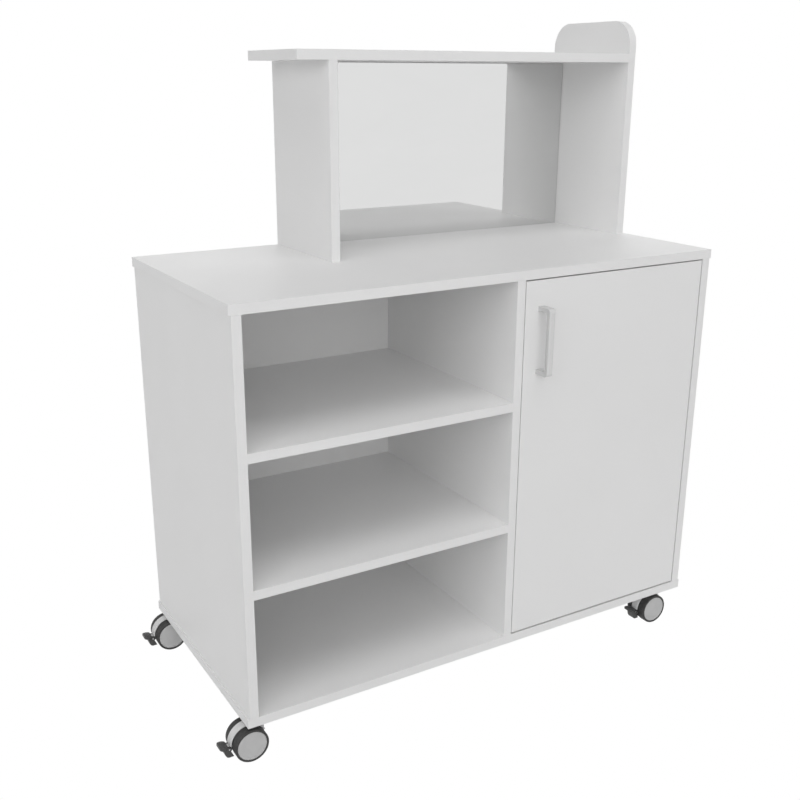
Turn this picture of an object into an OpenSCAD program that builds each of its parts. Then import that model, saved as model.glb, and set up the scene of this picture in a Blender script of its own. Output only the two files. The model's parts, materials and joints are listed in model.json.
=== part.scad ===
// Kitchen microwave cart on four braked swivel castors.
// Board cabinet with an open bay of two shelves, a cupboard with an inset
// door, and a raised hutch with a mirror back over the right of the worktop.
// Units are millimetres. +Z is up and the front faces -Y. The origin lies on
// the floor under the middle of the overall width and depth.

/* [Cabinet] */
// Width of the worktop and of the base panel
body_w = 1050; // [960:10:1160]
// Depth of the worktop, base panel and sides
body_d = 498; // [440:2:560]
// Height from the underside of the base panel to the top of the worktop
body_h = 768; // [700:4:860]
// Thickness of every board
board_t = 18; // [16:1:20]
// Overhang of the worktop and the base past the sides
reveal = 3.5; // [2:0.5:6]
// Clear width of the open bay on the left
bay_w = 538; // [480:2:580]
// Distance from the rear edge to the back panel
back_inset = 12; // [8:1:20]
// Setback of the cupboard shelf from the front edge
inner_shelf_setback = 60; // [50:1:90]

/* [Door] */
// Gap at the hinge edge of the door
gap_hinge = 2.5; // [2.3:0.1:3.5]
// Gap at the handle edge of the door
gap_latch = 2.2; // [1.5:0.1:3]
// Gap above the door
gap_top = 2.5; // [1.5:0.1:4]
// Gap below the door
gap_bottom = 4; // [2:0.5:6]
// Radius of the door's upright edges
door_edge_r = 1; // [0.5:0.1:1.5]
// Distance of each hinge from the door's top and bottom edge
hinge_end = 101; // [80:1:150]

/* [Handle] */
// Distance between the two handle screws
handle_pitch = 122; // [96:1:160]
// Width of the handle bar
handle_w = 14; // [12:1:18]
// Thickness of the handle bar
bar_t = 9; // [7:1:11]
// How far the handle stands out from the door
handle_out = 35; // [30:1:42]
// Height of each handle foot
foot_h = 8.5; // [8:0.5:12]
// Distance from the door's free edge to the middle of the handle
handle_in = 36; // [28:1:60]
// Distance from the worktop's top to the upper handle screw
handle_down = 73.5; // [60:0.5:120]

/* [Hutch] */
// Distance from the worktop's left end to the left upright
hutch_x = 310; // [240:5:380]
// Distance from the worktop's right end to the right upright
hutch_end = 10; // [4:1:20]
// Depth of the two uprights
hutch_d = 247; // [210:1:280]
// Clear height under the hutch shelf
hutch_clear = 363; // [320:1:420]
// Height of the right upright
hutch_h = 447; // [440:1:520]
// Corner radius at the top of the right upright
hutch_r = 50; // [20:1:55]
// Overhang of the hutch shelf past the left upright
shelf_over = 63; // [40:1:90]
// Thickness of the mirror
mirror_t = 3; // [3:0.5:4]

/* [Castors] */
// Height of a castor from the floor to the base panel
castor_h = 75; // [74.5:0.5:79]
// Diameter of a castor wheel
wheel_d = 65; // [62:0.5:65]
// Width of one wheel of a pair
wheel_w = 19; // [17:0.5:20]
// Distance between the two wheels of a pair
wheel_gap = 12.5; // [12:0.5:14]
// Offset of the axle from the swivel axis
trail = 27.5; // [27:0.5:29]
// Distance of the swivel axis from the end of the base panel
castor_x = 36.5; // [32:0.5:60]
// Distance of the swivel axis from the front and rear edge
castor_y = 31; // [31:1:60]
// Diameter of the pale disc on a wheel
disc_d = 56.7; // [50:0.1:57.5]

/* [Hidden] */
$fn = 64;
eps = 0.01;

// Castor brake lever: how far its pad reaches from the swivel axis
pad_reach = 83.5;
// Overall reach past the left end of the worktop
over_left = max(0, pad_reach - castor_x);

// Corner of the worktop that everything is set out from
x_l = (over_left - body_w) / 2;
y_f = (handle_out - body_d) / 2;
x_r = x_l + body_w;
y_b = y_f + body_d;

// Heights
z_base = castor_h;
z_in = z_base + board_t;
z_top = z_base + body_h;
z_ceil = z_top - board_t;
bay_h = (z_ceil - z_in - 2 * board_t) / 3;
z_shelf_1 = z_in + bay_h;
z_shelf_2 = z_shelf_1 + board_t + bay_h;

// Upright boards
side_l0 = x_l + reveal;
side_l1 = side_l0 + board_t;
side_r1 = x_r - reveal;
side_r0 = side_r1 - board_t;
div_0 = side_l1 + bay_w;
div_1 = div_0 + board_t;
back_1 = y_b - back_inset;
back_0 = back_1 - board_t;

// Cupboard shelf
shelf_gap = 1;
inner_z = (z_in + z_ceil - board_t) / 2;
pin_r = 2.5;
pin_in = 9;
pin_tab = 8;
pin_pitch = 32;
pin_front = 100;
pin_rear = 48;
pin_ys = [y_f + pin_front, back_0 - pin_rear];

// Door
door_x0 = div_1 + gap_latch;
door_x1 = side_r0 - gap_hinge;
door_z0 = z_in + gap_bottom;
door_z1 = z_ceil - gap_top;

// Hutch
up_l0 = x_l + hutch_x;
up_l1 = up_l0 + board_t;
up_r1 = x_r - hutch_end;
up_r0 = up_r1 - board_t;
hutch_y0 = y_b - hutch_d;
hutch_z = z_top + hutch_clear;
hback_0 = back_0;
hback_1 = back_1;
mirror_0 = hback_0 - mirror_t;
mirror_gap = 1;

// Fixings
fit = 0.1;
dowel_r = 4;
dowel_face = 12;
dowel_end = 22;
cam_r = 7.5;
cam_deep = 13;
cam_drop = 34;
bolt_r = 3.5;
bolt_tip_r = 2.5;
bolt_tip = 11;
screw_r = 3.5;
screw_tip_r = 2.5;
screw_l = 50;
screw_head_r = 5;
screw_head_h = 4;
mid = board_t / 2;
bolt_past = 2;
cam_slot = 8;
cam_slot_deep = 2.4;
hex_r = 2.4;
hex_deep = 3;
cam_front = 100;
cam_rear = 68;
cam_ys = [y_f + cam_front, back_0 - cam_rear];
shelf_dowel_in = 60;
shelf_dowel_ys = [y_f + shelf_dowel_in, back_0 - shelf_dowel_in];
screw_end = 70;
div_screw_rear = 68;
base_screws = [
    [side_l0 + mid, y_f + screw_end], [side_l0 + mid, y_b - screw_end],
    [div_0 + mid, y_f + screw_end], [div_0 + mid, back_0 - div_screw_rear],
    [side_r0 + mid, y_f + screw_end], [side_r0 + mid, y_b - screw_end]
];
hutch_screw_in = 40;
hutch_screws = [
    for (x = [up_l0 + mid, up_r0 + mid])
        for (y = [hutch_y0 + hutch_screw_in, y_b - hutch_screw_in])
            [x, y]
];
hutch_dowel_front = 40;
hutch_dowel_rear = 38;
hutch_dowel_ys = [hutch_y0 + hutch_dowel_front, hback_0 - hutch_dowel_rear];
back_dowel_in = 108;
back_dowel_zs = [z_in + back_dowel_in, inner_z + mid, z_ceil - back_dowel_in];
hback_dowel_low = 60;
hback_dowel_high = 63;
hback_dowel_zs = [z_top + hback_dowel_low, hutch_z - hback_dowel_high];

// Hinge. The pivot pin lies inside the cup, and a swan neck arm
// reaches it round the door's edge without touching the cup's rim.
cup_r = 17.5;
cup_deep = 12;
cup_wall = 0.8;
cup_edge = 4;
flange_t = 1.2;
flange_r = 18.2;
pin_back = 8.5;
hinge_pin_r = 1.25;
eye_r = 2.4;
run_fit = 0.06;
arm_t = 2.2;
arm_half = 7;
ear_in = 8.2;
ear_t = 1.5;
pivot_x = door_x1 - cup_edge - cup_r;
pivot_y = y_f + board_t - pin_back;
hinge_zs = [door_z0 + hinge_end, door_z1 - hinge_end];
// Side panel's face and door's back face, seen from the pivot pin
wall_x = side_r0 - pivot_x;
face_y = pin_back;
plate_t = 3;
spine_h = 4;
spine_w = 11;
arm_wall = 1.2;
arm_y0 = 28;
arm_y1 = 78;
arm_x = wall_x - plate_t - spine_h - arm_t;
neck = [
    [0, 0], [-9, 9], [-12.9, 13.9], [-14, 16.5], [-14, 21.5], [-12.6, 24.9],
    [-9.5, 26.9], [arm_x - 4, arm_y0 + 0.2], [arm_x + arm_t / 2, arm_y0]
];
flank_gap = 0.4;
plate_y = 51.5;
plate_w = 20;
plate_l = 54;
plate_r = 5;
tongue_l = 46;
tongue_back = 2;
spine_l = 40;
spine_front = 18;
cup_screw_x = -9.5;
cup_screw_z = 22.5;
cup_screw_l = 13;
cup_head_r = 3.2;
cup_head_h = 1.4;
wing_w = 16;
wing_l = 58;
wing_r = 4;
ear_w = 7;
pin_grip = 0.02;
wood_screw_r = 1.75;
plate_screw_z = 16;
plate_screw_l = 12;
plate_head_r = 3.6;
plate_head_h = 1.6;
clamp_y = arm_y1 - 14;
clamp_r = 2;
clamp_l = 5;
clamp_head_r = 3.4;
clamp_head_h = 1.8;

// Magnet catch
catch_in = 60;
catch_x = door_x0 + catch_in;
catch_w = 46;
catch_h = 15;
catch_d = 14;
catch_gap = 0.3;
strike_w = 38;
strike_h = 12;
strike_t = 1.2;
strike_in = 0.5;
slot_out = 17;
slot_in = 12;
slot = [7, 9, 12];

// Handle
handle_x = door_x0 + handle_in;
handle_z1 = z_top - handle_down;
handle_z0 = handle_z1 - handle_pitch;
handle_bolt_r = 2;
handle_bolt_l = 14;
bolt_head_r = 4;
bolt_head_h = 2.5;
bow_r = 9;
bow_inner_r = 5;
bar_r = 3.2;
bar_past = 4;

// Castor. Sizes are set out from the swivel axis, on the floor, with the
// axle trailing towards -X.
wheel_r = wheel_d / 2;
ax = -trail;
az = wheel_r;
inner_y = wheel_gap / 2;
outer_y = inner_y + wheel_w;
tread_r = 1.5;
axle_r = 3;
axle_half = inner_y + 14;
web_half = 4.5;
web_r = wheel_r + 2.5;
fender_r0 = wheel_r + 1.2;
fender_r1 = wheel_r + 3.4;
fender_half = 8.5;
shoulder_r = 1.1;
fender_from = 25;
fender_to = 178;
web_from = 31;
web_to = 190;
axle_boss_r = 9;
spacer_r = 6.5;
spacer_past = 2.7;
boss_r = 5.5;
boss_z = 40;
king_r = 3;
king_sink = 1.5;
king_head_r = 3.9;
king_head_h = 2.5;
king_z = boss_z + 1.5;
head_gap = 0.3;
mount_t = 2.5;
mount_w = 40;
mount_r = 5;
mount_hole = 14.5;
mount_screw_r = 2.1;
mount_screw_l = 13;
mount_head_r = 4;
mount_head_h = 2.4;
hub_h = 3.3;
hub_r = 12.5;
turn_gap = 0.3;
turn_r = 12;
turn_h = 6;
hub_z = castor_h - mount_t - hub_h;
lever_r = 5;
lever_low = 4.5;
lever_gap = 0.5;
lever_z = az - lever_low;
lever_x = ax - sqrt(pow(wheel_r + lever_gap + lever_r, 2) - pow(lever_low, 2));
lever_pin_r = 1.5;
lug_gap = 3.4;
cheek_in = 4.9;
cheek_out = 8.4;
neck_t = 4;
pad_half = 14;
pad_long = 14.5;
pad_r = 6.5;
pad_t = 7;
pad_tilt = 4;
crown_r = 26;
core_in = 3;
core_hub_r = 7;
core_wall = 3;
disc_t = 3;
disc_bevel = 1.2;
rib_t = 1.8;
corners = [
    [x_l + castor_x, y_f + castor_y], [x_r - castor_x, y_f + castor_y],
    [x_l + castor_x, y_b - castor_y], [x_r - castor_x, y_b - castor_y]
];

white = [0.80, 0.80, 0.80];
steel = [0.72, 0.73, 0.74];
dark = [0.24, 0.24, 0.25];
pale = [0.68, 0.68, 0.68];

// ---- helpers ----

// Board between two opposite corners
module board(a, b) {
    translate(a)
        cube(b - a);
}

// Round bars and bores along each axis, from s to e
module bar_x(s, e, y, z, r) {
    translate([s, y, z])
        rotate([0, 90, 0])
            cylinder(r = r, h = e - s);
}

module bar_y(s, e, x, z, r) {
    translate([x, s, z])
        rotate([-90, 0, 0])
            cylinder(r = r, h = e - s);
}

module bar_z(s, e, x, y, r) {
    translate([x, y, s])
        cylinder(r = r, h = e - s);
}

// Outline with round corners, centred
module round_rect(w, h, r) {
    square([w - 2 * r, h], center = true);
    square([w, h - 2 * r], center = true);
    for (sx = [-1, 1])
        for (sy = [-1, 1])
            translate([sx * (w / 2 - r), sy * (h / 2 - r)])
                circle(r = r);
}

// Screwdriver recess, h deep along +Z from its mouth, with arms d long
module cross(d, h) {
    for (a = [0, 90])
        rotate([0, 0, a])
            translate([-d / 2, -d / 8, -1])
                cube([d, d / 4, h + 1]);
}

// Hexagon socket, h deep along +Z from its mouth
module hex_socket(r, h) {
    translate([0, 0, -1])
        cylinder(r = r, h = h + 1, $fn = 6);
}

// Outline of a bent strip of thickness t through points, with mitred bends
function across_path(v) = [-v[1], v[0]] / norm(v);

function mitre(pts, i, t) =
    let (a = across_path(i > 0 ? pts[i] - pts[i - 1] : pts[1] - pts[0]))
    let (b = across_path(i < len(pts) - 1 ? pts[i + 1] - pts[i] : pts[i] - pts[i - 1]))
    (a + b) * t / 2 / (1 + a * b);

function ribbon(pts, t) = concat(
    [for (i = [0 : len(pts) - 1]) pts[i] + mitre(pts, i, t)],
    [for (i = [len(pts) - 1 : -1 : 0]) pts[i] - mitre(pts, i, t)]
);

// ---- fixings, as solids (g = 0) or as their bores (g = clearance) ----

module cam_set(g) {
    for (y = cam_ys) {
        bar_x(side_l1 - cam_deep - g, side_l1 + g, y, z_ceil - cam_drop, cam_r + g);
        bar_x(div_1 - cam_deep - g, div_1 + g, y, z_ceil - cam_drop, cam_r + g);
        bar_x(side_r0 - g, side_r0 + cam_deep + g, y, z_ceil - cam_drop, cam_r + g);
    }
}

module bolt_set(g) {
    for (x = [side_l0 + mid, div_0 + mid, side_r0 + mid])
        for (y = cam_ys) {
            bar_z(z_ceil - cam_drop - bolt_past - g, z_ceil, x, y, bolt_r + g);
            bar_z(z_ceil - eps, z_ceil + bolt_tip + g, x, y, bolt_tip_r + g);
        }
}

module screw_set(points, z, g) {
    for (p = points) {
        bar_z(z - g, z + screw_head_h, p[0], p[1], screw_head_r + g);
        bar_z(z, z + board_t, p[0], p[1], screw_r + g);
        bar_z(z, z + screw_l + g, p[0], p[1], screw_tip_r + g);
    }
}

// Dowel through a face at x, reaching a into one side and b into the other
module dowel_x(x, a, b, y, z, g) {
    bar_x(x - a - g, x + b + g, y, z, dowel_r + g);
}

module shelf_dowels(g) {
    for (z = [z_shelf_1 + mid, z_shelf_2 + mid])
        for (y = shelf_dowel_ys) {
            dowel_x(side_l1, dowel_face, dowel_end, y, z, g);
            dowel_x(div_0, dowel_end, dowel_face, y, z, g);
        }
}

module back_dowels(g) {
    for (z = back_dowel_zs) {
        dowel_x(side_l1, dowel_face, dowel_end, back_0 + mid, z, g);
        dowel_x(side_r0, dowel_end, dowel_face, back_0 + mid, z, g);
    }
}

module hutch_dowels(g) {
    for (y = hutch_dowel_ys) {
        bar_z(hutch_z - dowel_end - g, hutch_z + dowel_face + g, up_l0 + mid, y, dowel_r + g);
        dowel_x(up_r0, dowel_end, dowel_face, y, hutch_z + mid, g);
    }
    for (z = hback_dowel_zs) {
        dowel_x(up_l1, dowel_face, dowel_end, hback_0 + mid, z, g);
        dowel_x(up_r0, dowel_end, dowel_face, hback_0 + mid, z, g);
    }
}

// Holes for the cupboard shelf's pins, five to a row
module pin_bores() {
    for (y = pin_ys)
        for (i = [-2 : 2]) {
            bar_x(div_1 - pin_in, div_1 + 1, y, inner_z - pin_r + i * pin_pitch, pin_r + fit);
            bar_x(side_r0 - 1, side_r0 + pin_in, y, inner_z - pin_r + i * pin_pitch, pin_r + fit);
        }
}

// ---- cabinet ----

module worktop() {
    color(white)
        difference() {
            board([x_l, y_f, z_ceil], [x_r, y_b, z_top]);
            bolt_set(fit);
            screw_set(hutch_screws, z_ceil, fit);
        }
}

module side_left() {
    color(white)
        difference() {
            board([side_l0, y_f, z_in], [side_l1, y_b, z_ceil]);
            cam_set(fit);
            bolt_set(fit);
            screw_set(base_screws, z_base, fit);
            shelf_dowels(fit);
            back_dowels(fit);
        }
}

module side_right() {
    color(white)
        difference() {
            board([side_r0, y_f, z_in], [side_r1, y_b, z_ceil]);
            cam_set(fit);
            bolt_set(fit);
            screw_set(base_screws, z_base, fit);
            back_dowels(fit);
            pin_bores();
            plate_screw_set(fit);
        }
}

module divider() {
    color(white)
        difference() {
            board([div_0, y_f, z_in], [div_1, back_0, z_ceil]);
            cam_set(fit);
            bolt_set(fit);
            screw_set(base_screws, z_base, fit);
            shelf_dowels(fit);
            pin_bores();
        }
}

module base_panel() {
    color(white)
        difference() {
            board([x_l, y_f, z_base], [x_r, y_b, z_in]);
            screw_set(base_screws, z_base, fit);
            castor_screw_set(fit);
        }
}

module bay_shelf(z) {
    color(white)
        difference() {
            board([side_l1, y_f, z], [div_0, back_0, z + board_t]);
            shelf_dowels(fit);
        }
}

module back_panel() {
    color(white)
        difference() {
            board([side_l1, back_0, z_in], [side_r0, back_1, z_ceil]);
            back_dowels(fit);
        }
}

module cupboard_shelf() {
    color(white)
        board([div_1 + shelf_gap, y_f + inner_shelf_setback, inner_z],
              [side_r0 - shelf_gap, back_0 - shelf_gap, inner_z + board_t]);
}

// A round pin in the board and a flat tab under the shelf
module shelf_pins() {
    color(steel)
        for (y = pin_ys)
            for (e = [[div_1, 1], [side_r0, -1]])
                translate([e[0], y, inner_z - pin_r])
                    rotate([0, 0, e[1] > 0 ? 0 : 180]) {
                        bar_x(-pin_in + 0.5, eps, 0, 0, pin_r);
                        translate([0, -pin_tab / 2, -pin_r])
                            cube([pin_tab, pin_tab, 2 * pin_r]);
                    }
}

module cam_locks() {
    color(steel)
        difference() {
            cam_set(0);
            for (x = [side_l0 + mid, div_0 + mid, side_r0 + mid])
                for (y = cam_ys)
                    bar_z(z_ceil - cam_drop - bolt_past - 1, z_ceil, x, y, bolt_r + 2 * fit);
            for (y = cam_ys) {
                for (x = [side_l1, div_1])
                    translate([x, y, z_ceil - cam_drop])
                        rotate([0, -90, 0])
                            cross(cam_slot, cam_slot_deep);
                translate([side_r0, y, z_ceil - cam_drop])
                    rotate([0, 90, 0])
                        cross(cam_slot, cam_slot_deep);
            }
        }
}

module cam_bolts() {
    color(steel)
        bolt_set(0);
}

module panel_screws() {
    color(steel)
        difference() {
            union() {
                screw_set(base_screws, z_base, 0);
                screw_set(hutch_screws, z_ceil, 0);
            }
            for (p = base_screws)
                translate([p[0], p[1], z_base])
                    hex_socket(hex_r, hex_deep);
            for (p = hutch_screws)
                translate([p[0], p[1], z_ceil])
                    hex_socket(hex_r, hex_deep);
        }
}

module dowels() {
    color([0.78, 0.64, 0.44]) {
        shelf_dowels(0);
        back_dowels(0);
        hutch_dowels(0);
    }
}

// ---- hutch ----

module hutch_side_left() {
    color(white)
        difference() {
            board([up_l0, hutch_y0, z_top], [up_l1, y_b, hutch_z]);
            screw_set(hutch_screws, z_ceil, fit);
            hutch_dowels(fit);
        }
}

module hutch_side_right() {
    color(white)
        difference() {
            translate([up_r0, (hutch_y0 + y_b) / 2, z_top])
                rotate([90, 0, 90])
                    linear_extrude(board_t)
                        union() {
                            translate([-hutch_d / 2, 0])
                                square([hutch_d, hutch_h - hutch_r]);
                            translate([0, hutch_h / 2])
                                round_rect(hutch_d, hutch_h, hutch_r);
                        }
            screw_set(hutch_screws, z_ceil, fit);
            hutch_dowels(fit);
        }
}

module hutch_shelf() {
    color(white)
        difference() {
            board([up_l0 - shelf_over, hutch_y0, hutch_z],
                  [up_r0, hback_0, hutch_z + board_t]);
            hutch_dowels(fit);
        }
}

module hutch_back() {
    color(white)
        difference() {
            board([up_l1, hback_0, z_top], [up_r0, hback_1, hutch_z + board_t]);
            hutch_dowels(fit);
        }
}

module mirror_sheet() {
    color([0.86, 0.89, 0.90])
        board([up_l1 + mirror_gap, mirror_0, z_top], [up_r0 - mirror_gap, hback_0, hutch_z - mirror_gap]);
}

// ---- door ----

// Moves its children to the pivot pin of each hinge
module at_hinges() {
    for (z = hinge_zs)
        translate([pivot_x, pivot_y, z])
            children();
}

module cup_screws(g) {
    at_hinges()
        for (s = [-1, 1])
            bar_y(face_y - cup_screw_l - g, face_y + flange_t,
                  cup_screw_x, s * cup_screw_z, wood_screw_r + g);
}

module handle_bolts(g) {
    for (z = [handle_z0, handle_z1])
        bar_y(y_f - handle_bolt_l - g, y_f + board_t, handle_x, z, handle_bolt_r + g);
}

module door() {
    color(white)
        difference() {
            translate([(door_x0 + door_x1) / 2, y_f + mid, door_z0])
                linear_extrude(door_z1 - door_z0)
                    round_rect(door_x1 - door_x0, board_t, door_edge_r);
            at_hinges()
                bar_y(face_y - cup_deep - fit, face_y + 1, 0, 0, cup_r + fit);
            cup_screws(fit);
            handle_bolts(fit);
        }
}

// Bow handle: a side outline cut to a rounded section
module handle() {
    color([0.70, 0.70, 0.70])
        difference() {
            intersection() {
                translate([handle_x - handle_w / 2, y_f, (handle_z0 + handle_z1) / 2])
                    rotate([90, 0, 90])
                        linear_extrude(handle_w)
                            handle_outline();
                translate([handle_x, y_f - handle_out / 2 + bar_past, handle_z0 - foot_h])
                    linear_extrude(handle_pitch + 2 * foot_h)
                        round_rect(handle_w, handle_out + 2 * bar_past, bar_r);
            }
            handle_bolts(fit);
        }
}

module handle_outline() {
    long = handle_pitch + foot_h;
    difference() {
        intersection() {
            round_rect(2 * handle_out, long, bow_r);
            translate([-handle_out, -long / 2])
                square([handle_out, long]);
        }
        round_rect(2 * (handle_out - bar_t), long - 2 * foot_h, bow_inner_r);
    }
}

module handle_screws() {
    color(steel)
        difference() {
            union() {
                handle_bolts(0);
                for (z = [handle_z0, handle_z1])
                    bar_y(y_f + board_t, y_f + board_t + bolt_head_h, handle_x, z, bolt_head_r);
            }
            for (z = [handle_z0, handle_z1])
                translate([handle_x, y_f + board_t + bolt_head_h, z])
                    rotate([90, 0, 0])
                        cross(4.4, 1.8);
        }
}

// ---- hinges ----

module flange_outline() {
    circle(r = flange_r);
    translate([-wing_w / 2, 0])
        round_rect(wing_w, wing_l, wing_r);
}

module hinge_cups() {
    color(steel)
        at_hinges()
            difference() {
                union() {
                    bar_y(face_y - cup_deep, face_y + eps, 0, 0, cup_r);
                    translate([0, face_y + flange_t, 0])
                        rotate([90, 0, 0])
                            linear_extrude(flange_t)
                                flange_outline();
                }
                difference() {
                    bar_y(face_y - cup_deep + cup_wall, face_y + flange_t + 1, 0, 0, cup_r - cup_wall);
                    for (s = [-1, 1])
                        translate([-ear_w / 2, -face_y, s > 0 ? ear_in : -ear_in - ear_t])
                            cube([ear_w, face_y + 3, ear_t]);
                }
                bar_z(-ear_in - ear_t - 1, ear_in + ear_t + 1, 0, 0, hinge_pin_r + pin_grip);
                for (s = [-1, 1])
                    bar_y(0, face_y + 5, cup_screw_x, s * cup_screw_z, wood_screw_r + fit);
            }
}

module hinge_cup_screws() {
    color(steel)
        difference() {
            union() {
                cup_screws(0);
                at_hinges()
                    for (s = [-1, 1])
                        bar_y(face_y + flange_t, face_y + flange_t + cup_head_h,
                              cup_screw_x, s * cup_screw_z, cup_head_r);
            }
            at_hinges()
                for (s = [-1, 1])
                    translate([cup_screw_x, face_y + flange_t + cup_head_h, s * cup_screw_z])
                        rotate([90, 0, 0])
                            cross(3.6, 1.2);
        }
}

module hinge_pins() {
    color(steel)
        at_hinges()
            bar_z(-ear_in - ear_t, ear_in + ear_t, 0, 0, hinge_pin_r);
}

// Swan neck strip with an eye at the pin, ending in a channel that
// sits over the spine of the mounting plate
module hinge_arms() {
    high = 2 * arm_half + 1;
    color(steel)
        at_hinges() {
            translate([0, 0, -arm_half])
                linear_extrude(2 * arm_half)
                    neck_outline();
            translate([arm_x, arm_y0 - arm_t, -high / 2])
                difference() {
                    cube([arm_t + spine_h - flank_gap, arm_y1 - arm_y0 + arm_t, high]);
                    translate([arm_t, -1, arm_wall])
                        cube([spine_h, arm_y1 - arm_y0 + arm_t + 2, high - 2 * arm_wall]);
                    translate([arm_t, -1, -1])
                        cube([spine_h, arm_t + 4, high + 2]);
                    translate([-1, clamp_y - arm_y0 + arm_t, high / 2])
                        rotate([0, 90, 0])
                            cylinder(r = clamp_r + fit, h = arm_t + 2);
                }
        }
}

module neck_outline() {
    difference() {
        union() {
            circle(r = eye_r);
            polygon(ribbon(neck, arm_t));
        }
        circle(r = hinge_pin_r + run_fit);
    }
}

module plate_outline() {
    round_rect(plate_w, plate_l, plate_r);
    translate([-tongue_back, 0])
        square([tongue_l, spine_w], center = true);
}

module hinge_plates() {
    color(steel)
        at_hinges()
            difference() {
                union() {
                    translate([wall_x - plate_t, plate_y, 0])
                        rotate([90, 0, 90])
                            linear_extrude(plate_t)
                                plate_outline();
                    translate([wall_x - plate_t - spine_h, plate_y - spine_front, -spine_w / 2])
                        cube([spine_h + eps, spine_l, spine_w]);
                }
                for (s = [-1, 1])
                    bar_x(0, wall_x + 1, plate_y, s * plate_screw_z, wood_screw_r + fit);
                bar_x(0, arm_x + arm_t + clamp_l + fit, clamp_y, 0, clamp_r + fit);
            }
}

module plate_screw_set(g) {
    at_hinges()
        for (s = [-1, 1])
            bar_x(wall_x - plate_t, wall_x + plate_screw_l + g, plate_y, s * plate_screw_z, wood_screw_r + g);
}

module hinge_plate_screws() {
    color(steel)
        difference() {
            union() {
                plate_screw_set(0);
                at_hinges() {
                    for (s = [-1, 1])
                        bar_x(wall_x - plate_t - plate_head_h, wall_x - plate_t,
                              plate_y, s * plate_screw_z, plate_head_r);
                    bar_x(arm_x - clamp_head_h, arm_x, clamp_y, 0, clamp_head_r);
                    bar_x(arm_x - 1, arm_x + arm_t + clamp_l, clamp_y, 0, clamp_r);
                }
            }
            at_hinges() {
                for (s = [-1, 1])
                    translate([wall_x - plate_t - plate_head_h, plate_y, s * plate_screw_z])
                        rotate([0, 90, 0])
                            cross(4, 1.3);
                translate([arm_x - clamp_head_h, clamp_y, 0])
                    rotate([0, 90, 0])
                        cross(4, 1.4);
            }
        }
}

module magnet_catch() {
    color([0.85, 0.85, 0.84])
        difference() {
            board([catch_x - catch_w / 2, y_f + board_t + strike_t + catch_gap, z_ceil - catch_h],
                  [catch_x + catch_w / 2, y_f + board_t + strike_t + catch_gap + catch_d, z_ceil]);
            for (s = [-1, 1])
                translate([catch_x + s * slot_out, y_f + board_t + slot_in, z_ceil - catch_h - 1])
                    cube(slot, center = true);
        }
}

module catch_plate() {
    color(steel)
        board([catch_x - strike_w / 2, y_f + board_t, z_ceil - catch_h + strike_in],
              [catch_x + strike_w / 2, y_f + board_t + strike_t, z_ceil - catch_h + strike_in + strike_h]);
}

// ---- castors ----

// Puts its child on the line of every castor screw, at height z
module at_mount_screws(z) {
    for (c = corners)
        for (sx = [-1, 1])
            for (sy = [-1, 1])
                translate([c[0] + sx * mount_hole, c[1] + sy * mount_hole, z])
                    children();
}

module castor_screw_set(g) {
    at_mount_screws(castor_h - mount_t)
        cylinder(r = mount_screw_r + g, h = mount_t + mount_screw_l + g);
}

module castor_screws() {
    color(steel)
        difference() {
            union() {
                castor_screw_set(0);
                at_mount_screws(castor_h - mount_t - mount_head_h)
                    cylinder(r = mount_head_r, h = mount_head_h);
            }
            at_mount_screws(castor_h - mount_t - mount_head_h)
                cross(4.6, 1.8);
        }
}

// Top plate pressed with a bearing hub. The swivel pin is riveted into
// a countersink in its top.
module castor_plates() {
    color(steel)
        for (c = corners)
            translate([c[0], c[1], 0]) {
                difference() {
                    union() {
                        translate([0, 0, castor_h - mount_t])
                            linear_extrude(mount_t)
                                round_rect(mount_w, mount_w, mount_r);
                        bar_z(hub_z, castor_h - mount_t + eps, 0, 0, hub_r);
                    }
                    for (sx = [-1, 1])
                        for (sy = [-1, 1])
                            translate([sx * mount_hole, sy * mount_hole, 0])
                                bar_z(castor_h - mount_t - 1, castor_h + 1, 0, 0, mount_screw_r + fit);
                    king_pin(fit);
                }
                king_pin(0);
            }
}

// Swivel pin, or its bore where g is the fit
module king_pin(g) {
    bar_z(king_z, castor_h + g, 0, 0, king_r + g);
    bar_z(king_z, king_z + king_head_h, 0, 0, king_head_r);
    translate([0, 0, castor_h - king_sink])
        cylinder(r1 = king_r + g, r2 = king_r + king_sink + g, h = king_sink + g);
}

// Part of a disc round the axle, between two angles from +X, seen from
// the front
module sector(r, from, to) {
    intersection() {
        circle(r = r);
        polygon(concat([[0, 0]], [
            for (i = [0 : 8])
                let (a = from + (to - from) * i / 8)
                    [2 * r * cos(a), 2 * r * sin(a)]
        ]));
    }
}

// Extrudes an outline in X and Z along Y, from -half to half
module across(half) {
    translate([0, half, 0])
        rotate([90, 0, 0])
            linear_extrude(2 * half)
                children();
}

module castor_hood(i) {
    color(pale)
        translate([corners[i][0], corners[i][1], 0])
            difference() {
                union() {
                    translate([ax, 0, az])
                        rotate([90, 0, 0])
                            rotate([0, 0, fender_from])
                                rotate_extrude(angle = fender_to - fender_from)
                                    fender_section();
                    across(web_half)
                        union() {
                            translate([ax, az])
                                sector(web_r, web_from, web_to);
                            translate([ax, az])
                                circle(r = axle_boss_r);
                            translate([lever_x, lever_z])
                                circle(r = lever_r);
                        }
                    bar_y(-inner_y - spacer_past, inner_y + spacer_past, ax, az, spacer_r);
                    bar_z(boss_z, hub_z - turn_gap, 0, 0, boss_r);
                    bar_z(hub_z - turn_gap - turn_h, hub_z - turn_gap, 0, 0, turn_r);
                }
                bar_z(0, hub_z, 0, 0, king_r + run_fit);
                bar_z(0, king_z + king_head_h + head_gap, 0, 0, king_head_r + head_gap);
                bar_y(-inner_y - 4, inner_y + 4, ax, az, axle_r + pin_grip);
                bar_y(-web_half - 1, web_half + 1, lever_x, lever_z, lever_pin_r + pin_grip);
            }
}

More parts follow.
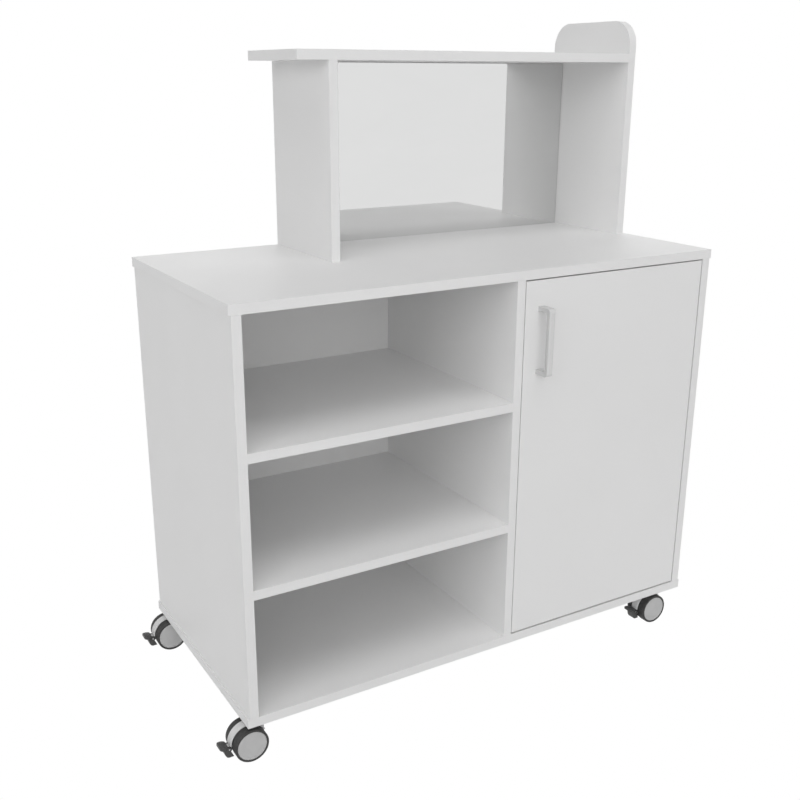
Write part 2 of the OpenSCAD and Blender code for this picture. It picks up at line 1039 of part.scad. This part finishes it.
// Section of the hood over the wheels, with round outer shoulders
module fender_section() {
    translate([fender_r0, -fender_half])
        square([fender_r1 - fender_r0 - shoulder_r, 2 * fender_half]);
    translate([fender_r0, shoulder_r - fender_half])
        square([fender_r1 - fender_r0, 2 * (fender_half - shoulder_r)]);
    for (s = [-1, 1])
        translate([fender_r1 - shoulder_r, s * (fender_half - shoulder_r)])
            circle(r = shoulder_r);
}

module castor_pins(i) {
    color(steel)
        translate([corners[i][0], corners[i][1], 0]) {
            bar_y(-axle_half, axle_half, ax, az, axle_r);
            bar_y(-cheek_out, cheek_out, lever_x, lever_z, lever_pin_r);
        }
}

// Outline of the brake lever's body from the side
module lever_outline() {
    difference() {
        union() {
            translate([lever_x, lever_z])
                circle(r = lever_r);
            polygon([
                [lever_x - 1, lever_z + 4.9], [lever_x - 8, lever_z + 7.6],
                [lever_x - 11.5, lever_z + 4], [lever_x - 10.6, lever_z],
                [lever_x - 7.6, lever_z - 11], [lever_x - 4.5, lever_z - 15],
                [lever_x - 1, lever_z - 16.3], [lever_x + 8.5, lever_z - 16],
                [lever_x + 9, lever_z - 8], [lever_x + 2, lever_z]
            ]);
        }
        translate([ax, az])
            circle(r = wheel_r + lug_gap);
    }
    translate([lever_x, lever_z])
        circle(r = lever_r);
}

module castor_lever(i) {
    color(dark)
        translate([corners[i][0], corners[i][1], 0])
            difference() {
                union() {
                    across(cheek_out)
                        lever_outline();
                    translate([lever_x - neck_t, 0, lever_z + neck_t])
                        rotate([0, pad_tilt, 0])
                            pad();
                }
                across(cheek_in)
                    translate([lever_x, lever_z])
                        circle(r = lever_r + 0.5);
                bar_y(-cheek_out - 1, cheek_out + 1, lever_x, lever_z, lever_pin_r + run_fit);
            }
}

// Foot pad: a crowned tongue with round corners, on a flat neck
module pad() {
    long = (pad_reach + lever_x - neck_t) / cos(pad_tilt);
    translate([pad_long / 2 - long, 0, 0]) {
        intersection() {
            linear_extrude(pad_t)
                round_rect(pad_long, 2 * pad_half, pad_r);
            translate([0, 0, pad_t - crown_r])
                sphere(r = crown_r);
        }
        translate([0, -cheek_out, 0])
            cube([long - pad_long / 2, 2 * cheek_out, neck_t]);
    }
}

// Wheel core: a closed outer disc with hub, rim and ribs behind it.
// s is -1 for the front wheel and 1 for the rear one.
module wheel_core(i, s) {
    color(pale)
        translate([corners[i][0] + ax, corners[i][1], az])
            rotate([s > 0 ? -90 : 90, 0, 0])
                translate([0, 0, inner_y])
                    difference() {
                        union() {
                            rotate_extrude()
                                polygon([
                                    [0, core_in], [core_hub_r, core_in],
                                    [core_hub_r, wheel_w - disc_t],
                                    [disc_d / 2 - core_wall, wheel_w - disc_t],
                                    [disc_d / 2 - core_wall, 1], [disc_d / 2, 1],
                                    [disc_d / 2, wheel_w - 0.75 * disc_bevel],
                                    [disc_d / 2 - disc_bevel, wheel_w], [0, wheel_w]
                                ]);
                            for (a = [0 : 60 : 300])
                                rotate([0, 0, a])
                                    translate([core_hub_r - 1, -rib_t / 2, core_in + 2])
                                        cube([disc_d / 2 - core_hub_r - 1, rib_t, wheel_w - core_in - 4]);
                        }
                        translate([0, 0, -1])
                            cylinder(r = axle_r + run_fit, h = axle_half - inner_y + 2);
                    }
}

// Tyre: a plain tread with rounded shoulders
module tyre(i, s) {
    color(dark)
        translate([corners[i][0] + ax, corners[i][1], az])
            rotate([s > 0 ? -90 : 90, 0, 0])
                translate([0, 0, inner_y])
                    rotate_extrude()
                        union() {
                            translate([disc_d / 2, 0])
                                square([wheel_r - disc_d / 2 - tread_r, wheel_w]);
                            translate([disc_d / 2, tread_r])
                                square([wheel_r - disc_d / 2, wheel_w - 2 * tread_r]);
                            for (z = [tread_r, wheel_w - tread_r])
                                translate([wheel_r - tread_r, z])
                                    circle(r = tread_r);
                        }
}

worktop();
side_left();
side_right();
divider();
base_panel();
bay_shelf(z_shelf_2);  // shelf_upper
bay_shelf(z_shelf_1);  // shelf_lower
back_panel();
cupboard_shelf();
shelf_pins();
hutch_side_left();
hutch_side_right();
hutch_shelf();
hutch_back();
mirror_sheet();  // mirror
cam_locks();
cam_bolts();
panel_screws();
dowels();
door();
handle();
handle_screws();
hinge_cups();
hinge_cup_screws();
hinge_pins();
hinge_arms();
hinge_plates();
hinge_plate_screws();
magnet_catch();
catch_plate();
castor_plates();
castor_screws();
castor_hood(0);  // castor_fl_hood
castor_pins(0);  // castor_fl_pins
castor_lever(0);  // castor_fl_lever
wheel_core(0, -1);  // castor_fl_core_front
wheel_core(0, 1);  // castor_fl_core_rear
tyre(0, -1);  // castor_fl_tyre_front
tyre(0, 1);  // castor_fl_tyre_rear
castor_hood(1);  // castor_fr_hood
castor_pins(1);  // castor_fr_pins
castor_lever(1);  // castor_fr_lever
wheel_core(1, -1);  // castor_fr_core_front
wheel_core(1, 1);  // castor_fr_core_rear
tyre(1, -1);  // castor_fr_tyre_front
tyre(1, 1);  // castor_fr_tyre_rear
castor_hood(2);  // castor_bl_hood
castor_pins(2);  // castor_bl_pins
castor_lever(2);  // castor_bl_lever
wheel_core(2, -1);  // castor_bl_core_front
wheel_core(2, 1);  // castor_bl_core_rear
tyre(2, -1);  // castor_bl_tyre_front
tyre(2, 1);  // castor_bl_tyre_rear
castor_hood(3);  // castor_br_hood
castor_pins(3);  // castor_br_pins
castor_lever(3);  // castor_br_lever
wheel_core(3, -1);  // castor_br_core_front
wheel_core(3, 1);  // castor_br_core_rear
tyre(3, -1);  // castor_br_tyre_front
tyre(3, 1);  // castor_br_tyre_rear
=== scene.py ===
"""Looks of the microwave cart: finishes, studio light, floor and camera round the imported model.

Lengths are metres. Noise and cell scales count features per metre.
"""
import json
from math import radians

import bpy
from mathutils import Matrix, Vector


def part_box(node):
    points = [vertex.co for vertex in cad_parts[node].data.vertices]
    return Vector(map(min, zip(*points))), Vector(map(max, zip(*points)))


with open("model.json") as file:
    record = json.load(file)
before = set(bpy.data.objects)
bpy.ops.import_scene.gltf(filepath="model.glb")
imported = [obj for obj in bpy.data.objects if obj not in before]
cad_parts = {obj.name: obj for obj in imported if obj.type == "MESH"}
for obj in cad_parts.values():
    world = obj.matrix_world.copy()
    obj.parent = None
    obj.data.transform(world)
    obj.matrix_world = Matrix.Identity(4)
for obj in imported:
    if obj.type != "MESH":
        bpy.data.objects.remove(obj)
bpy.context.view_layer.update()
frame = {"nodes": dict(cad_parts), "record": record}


# ---- node trees ----

# Sockets of a Mix node that is set to colour
MIX_FACTOR = 0
MIX_A = 6
MIX_B = 7
MIX_RESULT = 2

BEVEL_SAMPLES = 4
# Cosine between the true and the rounded normal, on a flat and on a sharp edge
FLAT_COSINE = 0.995
EDGE_COSINE = 0.80


class Tree:
    """A material's node tree with short calls for the nodes used here."""

    def __init__(self, name):
        self.material = bpy.data.materials.new(name)
        self.material.use_nodes = True
        self.tree = self.material.node_tree
        self.shader = self.tree.nodes["Principled BSDF"]
        self.place = self.node("ShaderNodeTexCoord").outputs["Object"]

    def node(self, kind, **props):
        node = self.tree.nodes.new(kind)
        for key, value in props.items():
            setattr(node, key, value)
        return node

    def link(self, output, socket):
        self.tree.links.new(output, socket)

    def stretched(self, scale):
        """Object coordinates times a scale on each axis: under 1 draws a pattern out."""
        mapping = self.node("ShaderNodeMapping")
        mapping.inputs["Scale"].default_value = scale
        self.link(self.place, mapping.inputs["Vector"])
        return mapping.outputs["Vector"]

    def noise(self, scale, detail=2.0, rough=0.5, at=None, distort=0.0):
        noise = self.node("ShaderNodeTexNoise")
        noise.inputs["Scale"].default_value = scale
        noise.inputs["Detail"].default_value = detail
        noise.inputs["Roughness"].default_value = rough
        noise.inputs["Distortion"].default_value = distort
        self.link(at or self.place, noise.inputs["Vector"])
        return noise.outputs["Fac"]

    def cells(self, scale, at=None):
        cells = self.node("ShaderNodeTexVoronoi")
        cells.inputs["Scale"].default_value = scale
        self.link(at or self.place, cells.inputs["Vector"])
        return cells.outputs["Distance"]

    def ramp(self, amount, first, last):
        """Colour between two stops, each a position and a colour."""
        ramp = self.node("ShaderNodeValToRGB")
        for slot, (position, colour) in zip(ramp.color_ramp.elements, (first, last)):
            slot.position = position
            slot.color = (*colour, 1.0)
        self.link(amount, ramp.inputs["Fac"])
        return ramp.outputs["Color"]

    def span(self, amount, low, high, start=0.0, stop=1.0):
        """Maps start to stop of the amount onto low to high, and holds it there outside."""
        span = self.node("ShaderNodeMapRange")
        span.inputs["From Min"].default_value = start
        span.inputs["From Max"].default_value = stop
        span.inputs["To Min"].default_value = low
        span.inputs["To Max"].default_value = high
        self.link(amount, span.inputs["Value"])
        return span.outputs["Result"]

    def toned(self, base, colour, amount):
        """The base colour, turned towards another by the amount."""
        mix = self.node("ShaderNodeMix", data_type="RGBA")
        self.link(amount, mix.inputs[MIX_FACTOR])
        self.link(base, mix.inputs[MIX_A])
        mix.inputs[MIX_B].default_value = (*colour, 1.0)
        return mix.outputs[MIX_RESULT]

    def times(self, base, factor):
        mix = self.node("ShaderNodeMix", data_type="RGBA", blend_type="MULTIPLY")
        mix.inputs[MIX_FACTOR].default_value = 1.0
        self.link(base, mix.inputs[MIX_A])
        self.link(factor, mix.inputs[MIX_B])
        return mix.outputs[MIX_RESULT]

    def rounded(self, radius):
        """The surface's normal with sharp edges rounded off."""
        bevel = self.node("ShaderNodeBevel", samples=BEVEL_SAMPLES)
        bevel.inputs["Radius"].default_value = radius
        return bevel.outputs["Normal"]

    def edges(self, radius, amount):
        """The amount along sharp edges of the mesh, 0 on the flats."""
        dot = self.node("ShaderNodeVectorMath", operation="DOT_PRODUCT")
        self.link(self.rounded(radius), dot.inputs[0])
        self.link(self.node("ShaderNodeNewGeometry").outputs["Normal"], dot.inputs[1])
        edge = self.span(dot.outputs["Value"], low=0.0, high=1.0, start=FLAT_COSINE, stop=EDGE_COSINE)
        return self.span(edge, low=0.0, high=amount)

    def bump(self, height, depth, strength, normal=None):
        bump = self.node("ShaderNodeBump")
        bump.inputs["Distance"].default_value = depth
        bump.inputs["Strength"].default_value = strength
        self.link(height, bump.inputs["Height"])
        if normal:
            self.link(normal, bump.inputs["Normal"])
        return bump.outputs["Normal"]

    def finish(self, colour, rough, normal, **sockets):
        self.link(colour, self.shader.inputs["Base Color"])
        self.link(rough, self.shader.inputs["Roughness"])
        self.link(normal, self.shader.inputs["Normal"])
        for key, value in sockets.items():
            self.shader.inputs[key.replace("_", " ")].default_value = value
        return self.material


def grey(tone, warm=0.0):
    """A grey, with a little more red and less blue where it is warm."""
    return (tone + warm, tone, tone - warm)


# ---- finishes ----

def white_board():
    """White melamine faced board: fine pearl texture, satin sheen, edges a shade greyer."""
    tree = Tree("white_board")
    cloud = tree.noise(scale=2.4, detail=3.0, rough=0.55)
    base = tree.ramp(cloud, (0.30, grey(0.885, 0.001)), (0.70, grey(0.905, 0.001)))
    speck = tree.noise(scale=900.0, detail=2.0, rough=0.6)
    base = tree.times(base, tree.span(speck, low=0.98, high=1.0, start=0.30, stop=0.70))
    base = tree.toned(base, grey(0.80, 0.003), tree.edges(radius=0.0011, amount=0.35))
    wear = tree.noise(scale=14.0, detail=4.0, rough=0.6)
    rough = tree.span(wear, low=0.40, high=0.50, start=0.3, stop=0.7)
    pearl = tree.noise(scale=1300.0, detail=3.0, rough=0.55)
    normal = tree.bump(pearl, depth=0.00004, strength=0.45, normal=tree.rounded(radius=0.0007))
    return tree.finish(base, rough, normal, Specular_IOR_Level=0.38)


def mirror_glass():
    """Silvered sheet, with the faint haze that a wiped mirror keeps."""
    tree = Tree("mirror_glass")
    wiped = tree.stretched((1.0, 1.0, 2.6))
    haze = tree.noise(scale=7.0, detail=5.0, rough=0.62, at=wiped, distort=0.6)
    base = tree.ramp(haze, (0.25, (0.722, 0.724, 0.723)), (0.75, (0.735, 0.737, 0.736)))
    rough = tree.span(haze, low=0.004, high=0.022, start=0.35, stop=0.75)
    wave = tree.noise(scale=3.0, detail=1.0, rough=0.4)
    normal = tree.bump(wave, depth=0.00002, strength=0.3)
    return tree.finish(base, rough, normal, Metallic=1.0)


def satin_metal():
    """Satin silver coat over die cast zinc, grained along the bar, with a painted highlight along its
    edges.
    """
    tree = Tree("satin_metal")
    upright = tree.stretched((1.0, 1.0, 0.06))
    grain = tree.noise(scale=1500.0, detail=3.0, rough=0.6, at=upright)
    base = tree.ramp(grain, (0.30, grey(0.62)), (0.70, grey(0.70)))
    # Painted highlight: every sharp edge is turned towards a lighter grey
    base = tree.toned(base, grey(0.82), tree.edges(radius=0.0012, amount=0.5))
    rough = tree.span(grain, low=0.36, high=0.50, start=0.3, stop=0.7)
    normal = tree.bump(grain, depth=0.00003, strength=0.5, normal=tree.rounded(radius=0.0010))
    return tree.finish(base, rough, normal, Metallic=0.55)


def plated(name, tone, warm, smooth, dull):
    """Plated steel: spangled tone, fine rolling marks, brighter edges."""
    tree = Tree(name)
    spangle = tree.cells(scale=420.0)
    base = tree.ramp(spangle, (0.0, grey(tone * 0.90, warm)), (1.0, grey(tone * 1.08, warm)))
    stain = tree.noise(scale=60.0, detail=4.0, rough=0.65)
    stain = tree.span(stain, low=0.0, high=0.35, start=0.45, stop=0.75)
    base = tree.toned(base, grey(tone * 0.72, warm * 2), stain)
    base = tree.toned(base, grey(tone * 1.25), tree.edges(radius=0.0006, amount=0.5))
    wear = tree.noise(scale=90.0, detail=3.0, rough=0.6)
    rough = tree.span(wear, low=smooth, high=dull, start=0.3, stop=0.7)
    rolled = tree.stretched((0.12, 1.0, 1.0))
    marks = tree.noise(scale=800.0, detail=2.0, rough=0.5, at=rolled)
    normal = tree.bump(marks, depth=0.00002, strength=0.5, normal=tree.rounded(radius=0.0004))
    return tree.finish(base, rough, normal, Metallic=1.0)


def moulded(name, tone, smooth, dull, edge_tone, edge_amount=0.4):
    """Moulded plastic: spark eroded grain, faint flow clouding, rubbed edges."""
    tree = Tree(name)
    flow = tree.noise(scale=38.0, detail=3.0, rough=0.55, distort=0.8)
    base = tree.ramp(flow, (0.30, grey(tone * 0.955)), (0.70, grey(tone * 1.045)))
    base = tree.toned(base, grey(edge_tone), tree.edges(radius=0.0010, amount=edge_amount))
    wear = tree.noise(scale=160.0, detail=3.0, rough=0.6)
    rough = tree.span(wear, low=smooth, high=dull, start=0.3, stop=0.7)
    grain = tree.noise(scale=1500.0, detail=2.0, rough=0.6)
    normal = tree.bump(grain, depth=0.00006, strength=0.6, normal=tree.rounded(radius=0.0008))
    return tree.finish(base, rough, normal, Specular_IOR_Level=0.45)


def tyre_rubber():
    """Dark grey tyre: matt, dusty grain, worn paler on its edges."""
    tree = Tree("dark_tyre")
    dust = tree.noise(scale=140.0, detail=5.0, rough=0.68)
    base = tree.ramp(dust, (0.35, grey(0.040)), (0.75, grey(0.066, 0.001)))
    base = tree.toned(base, grey(0.10, 0.001), tree.edges(radius=0.0014, amount=0.35))
    wear = tree.noise(scale=300.0, detail=3.0, rough=0.6)
    rough = tree.span(wear, low=0.55, high=0.74, start=0.3, stop=0.7)
    grain = tree.noise(scale=1100.0, detail=3.0, rough=0.65)
    normal = tree.bump(grain, depth=0.00008, strength=0.7, normal=tree.rounded(radius=0.0009))
    return tree.finish(base, rough, normal, Specular_IOR_Level=0.35)


def beech():
    """Beech dowel: streaked tone and dark pores, both drawn out along X."""
    tree = Tree("beech")
    streaked = tree.stretched((1.0, 9.0, 9.0))
    streak = tree.noise(scale=60.0, detail=5.0, rough=0.6, at=streaked, distort=0.5)
    base = tree.ramp(streak, (0.30, (0.50, 0.335, 0.19)), (0.72, (0.66, 0.48, 0.30)))
    pore = tree.cells(scale=700.0, at=tree.stretched((0.10, 1.0, 1.0)))
    pores = tree.span(pore, low=0.62, high=1.0, start=0.05, stop=0.4)
    rough = tree.span(tree.noise(scale=90.0), low=0.55, high=0.7)
    normal = tree.bump(pores, depth=0.0001, strength=0.6)
    return tree.finish(tree.times(base, pores), rough, normal)


FINISH = {
    "white_board": white_board(),
    "mirror_glass": mirror_glass(),
    "satin_metal": satin_metal(),
    "nickel_steel": plated("nickel_steel", 0.66, warm=0.008, smooth=0.22, dull=0.36),
    "zinc_steel": plated("zinc_steel", 0.58, warm=-0.004, smooth=0.30, dull=0.46),
    "pale_plastic": moulded("pale_plastic", 0.56, smooth=0.42, dull=0.55, edge_tone=0.728),
    "hood_plastic": moulded("hood_plastic", 0.76, smooth=0.42, dull=0.55, edge_tone=0.9),
    "dark_plastic": moulded(
        "dark_plastic", 0.062, smooth=0.42, dull=0.58, edge_tone=0.12, edge_amount=0.3
    ),
    "dark_tyre": tyre_rubber(),
    "beech": beech(),
}
for part in frame["record"]["subparts"]:
    for slot in frame["nodes"][part["node"]].material_slots:
        slot.material = FINISH[part["material_slot"]]


# ---- studio ----

WHITE = (1.0, 1.0, 1.0, 1.0)
# Where the horizon lies from straight down, 0, to straight up, 1
HORIZON = 0.5

FLOOR_WIDTH = 24.0
FLOOR_TONE = 0.78
# Keeps the floor's face apart from the lowest faces of the tyres
FLOOR_DROP = 0.0005

# Name, place, width in metres and power in watts
LAMPS = (
    ("low front", (-2.6, -8.6, 2.2), 8.5, 125.0),
    ("high front", (-3.6, -7.4, 5.2), 8.5, 95.0),
    ("overhead", (-0.5, -3.0, 7.5), 8.5, 172.0),
    ("left", (-7.6, -3.0, 3.6), 7.0, 145.0),
    ("back right", (5.6, 6.2, 4.4), 8.5, 250.0),
)
LAMP_AIM = Vector((0.0, 0.0, 0.6))


def white_where_seen(tree, lit, white, out):
    """Shows one shader to the camera and to shiny surfaces, and the lit one to all other rays."""
    path = tree.nodes.new("ShaderNodeLightPath")
    seen = tree.nodes.new("ShaderNodeMath")
    seen.operation = "MAXIMUM"
    tree.links.new(path.outputs["Is Camera Ray"], seen.inputs[0])
    tree.links.new(path.outputs["Is Glossy Ray"], seen.inputs[1])
    mix = tree.nodes.new("ShaderNodeMixShader")
    tree.links.new(seen.outputs[0], mix.inputs["Fac"])
    tree.links.new(lit.outputs[0], mix.inputs[1])
    tree.links.new(white.outputs[0], mix.inputs[2])
    tree.links.new(mix.outputs[0], out.inputs["Surface"])


def lit_world(above, level, below):
    """Soft surround whose light depends on height; the camera and the mirror see plain white."""
    world = bpy.data.worlds.new("studio")
    world.use_nodes = True
    bpy.context.scene.world = world
    tree = world.node_tree
    tree.nodes.clear()
    out = tree.nodes.new("ShaderNodeOutputWorld")
    direction = tree.nodes.new("ShaderNodeTexCoord")
    split = tree.nodes.new("ShaderNodeSeparateXYZ")
    tree.links.new(direction.outputs["Generated"], split.inputs[0])
    height = tree.nodes.new("ShaderNodeMapRange")
    height.inputs["From Min"].default_value = -1.0
    tree.links.new(split.outputs["Z"], height.inputs["Value"])
    ramp = tree.nodes.new("ShaderNodeValToRGB")
    tree.links.new(height.outputs["Result"], ramp.inputs["Fac"])
    stops = ramp.color_ramp.elements
    stops.new(HORIZON)
    for stop, (position, tone) in zip(stops, ((0.0, below), (HORIZON, level), (1.0, above))):
        stop.position = position
        stop.color = (*grey(tone), 1.0)
    lit = tree.nodes.new("ShaderNodeBackground")
    tree.links.new(ramp.outputs["Color"], lit.inputs["Color"])
    white = tree.nodes.new("ShaderNodeBackground")
    white.inputs["Color"].default_value = WHITE
    white_where_seen(tree, lit, white, out)


def studio_floor():
    """Wide floor that lights the cart from below as pale grey, and looks plain white."""
    half = FLOOR_WIDTH / 2
    corners = [(-half, -half, 0), (half, -half, 0), (half, half, 0), (-half, half, 0)]
    mesh = bpy.data.meshes.new("floor")
    mesh.from_pydata(corners, [], [(0, 1, 2, 3)])
    floor = bpy.data.objects.new("floor", mesh)
    floor.location.z = -FLOOR_DROP
    bpy.context.scene.collection.objects.link(floor)
    material = bpy.data.materials.new("floor_white")
    material.use_nodes = True
    tree = material.node_tree
    tree.nodes.clear()
    out = tree.nodes.new("ShaderNodeOutputMaterial")
    lit = tree.nodes.new("ShaderNodeBsdfDiffuse")
    lit.inputs["Color"].default_value = (*grey(FLOOR_TONE), 1.0)
    white_where_seen(tree, lit, tree.nodes.new("ShaderNodeEmission"), out)
    mesh.materials.append(material)


def soft_lamp(name, place, width, power):
    """Wide oval softbox, half as high as it is wide, hidden from the camera and the mirror."""
    light = bpy.data.lights.new(name, "AREA")
    light.shape = "ELLIPSE"
    light.size = width
    light.size_y = width / 2
    light.energy = power
    lamp = bpy.data.objects.new(name, light)
    bpy.context.scene.collection.objects.link(lamp)
    lamp.location = place
    lamp.rotation_euler = (LAMP_AIM - Vector(place)).to_track_quat("-Z", "Y").to_euler()
    lamp.visible_glossy = False
    lamp.visible_camera = False


lit_world(above=0.33, level=0.12, below=0.14)
studio_floor()
for lamp in LAMPS:
    soft_lamp(*lamp)


# ---- camera: solved from the photograph's edges ----

# The photograph's width, focal length and optical centre in pixels
PHOTO_WIDTH = 800.0
PHOTO_FOCAL = 1016.0
PHOTO_CENTRE = (390.5, 404.4)
# The camera's sensor in millimetres
SENSOR_WIDTH = 36.0
CLIP_END = 60.0

# Degrees: turned right from the cart's depth, down from level, and about the line of sight
YAW = 30.424
PITCH = 18.041
ROLL = 0.106
# In lengths of the worktop, from the middle of its top front edge
EYE = Vector((-1.0347, -1.3833, 0.3238))


def photo_camera():
    """Puts the camera where the photograph was taken from, with the same lens."""
    low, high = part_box("worktop")
    length = high.x - low.x
    front_middle = Vector(((low.x + high.x) / 2, low.y, high.z))

    data = bpy.data.cameras.new("photo")
    data.sensor_fit = "HORIZONTAL"
    data.sensor_width = SENSOR_WIDTH
    data.lens = PHOTO_FOCAL / PHOTO_WIDTH * SENSOR_WIDTH
    data.shift_x = (PHOTO_WIDTH / 2 - PHOTO_CENTRE[0]) / PHOTO_WIDTH
    data.shift_y = (PHOTO_CENTRE[1] - PHOTO_WIDTH / 2) / PHOTO_WIDTH
    data.clip_end = CLIP_END
    camera = bpy.data.objects.new("photo", data)
    camera.matrix_world = (
        Matrix.Translation(front_middle + EYE * length)
        @ Matrix.Rotation(radians(-YAW), 4, "Z")
        @ Matrix.Rotation(radians(90.0 - PITCH), 4, "X")
        @ Matrix.Rotation(radians(ROLL), 4, "Z")
    )
    bpy.context.scene.collection.objects.link(camera)
    bpy.context.scene.camera = camera


photo_camera()
view = bpy.context.scene.view_settings
view.view_transform = "Standard"
view.look = "None"
